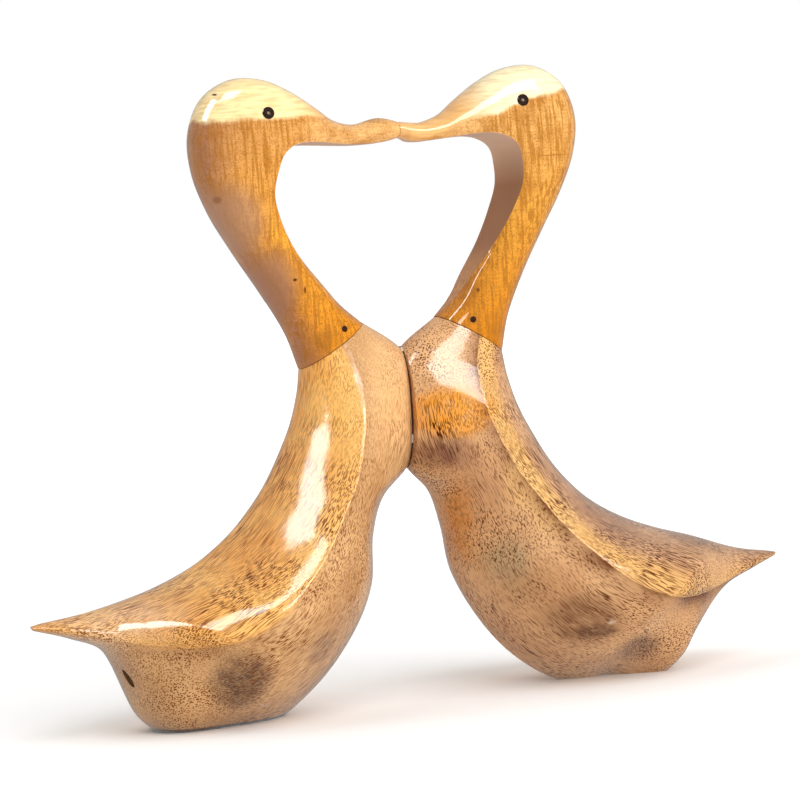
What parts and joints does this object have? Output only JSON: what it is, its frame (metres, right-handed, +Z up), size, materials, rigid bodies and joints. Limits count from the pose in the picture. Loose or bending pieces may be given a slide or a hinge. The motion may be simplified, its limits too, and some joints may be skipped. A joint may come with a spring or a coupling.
{
  "type": "pair of kissing duck figurines",
  "caption": "Near-mirror pair of carved bamboo-root ducks with wooden heads, glued together at breast and bill, their necks framing a heart-shaped gap.",
  "frame": {"origin": "on the floor, in the plane where the two ducks meet, midway between their sides", "axes": "+X from the left duck's tail to the right duck's tail, +Y away from the viewer, +Z up"},
  "size_m": [0.3306, 0.1074, 0.2619],
  "materials": {
    "bamboo_root": "clear lacquer, glossy, dark fibre bundles",
    "head_wood": "clear lacquer, glossy, cream crown",
    "eye_ring": "polished, near black brown",
    "peg_wood": "dark, lacquered over"
  },
  "bodies": {
    "root": {"left_body": "bamboo_root", "right_body": "bamboo_root", "left_head": "head_wood", "right_head": "head_wood", "left_eye_near": "eye_ring", "left_eye_far": "eye_ring", "right_eye_near": "eye_ring", "right_eye_far": "eye_ring", "left_neck_peg": "peg_wood", "right_neck_peg": "peg_wood"}
  },
  "joints": []
}
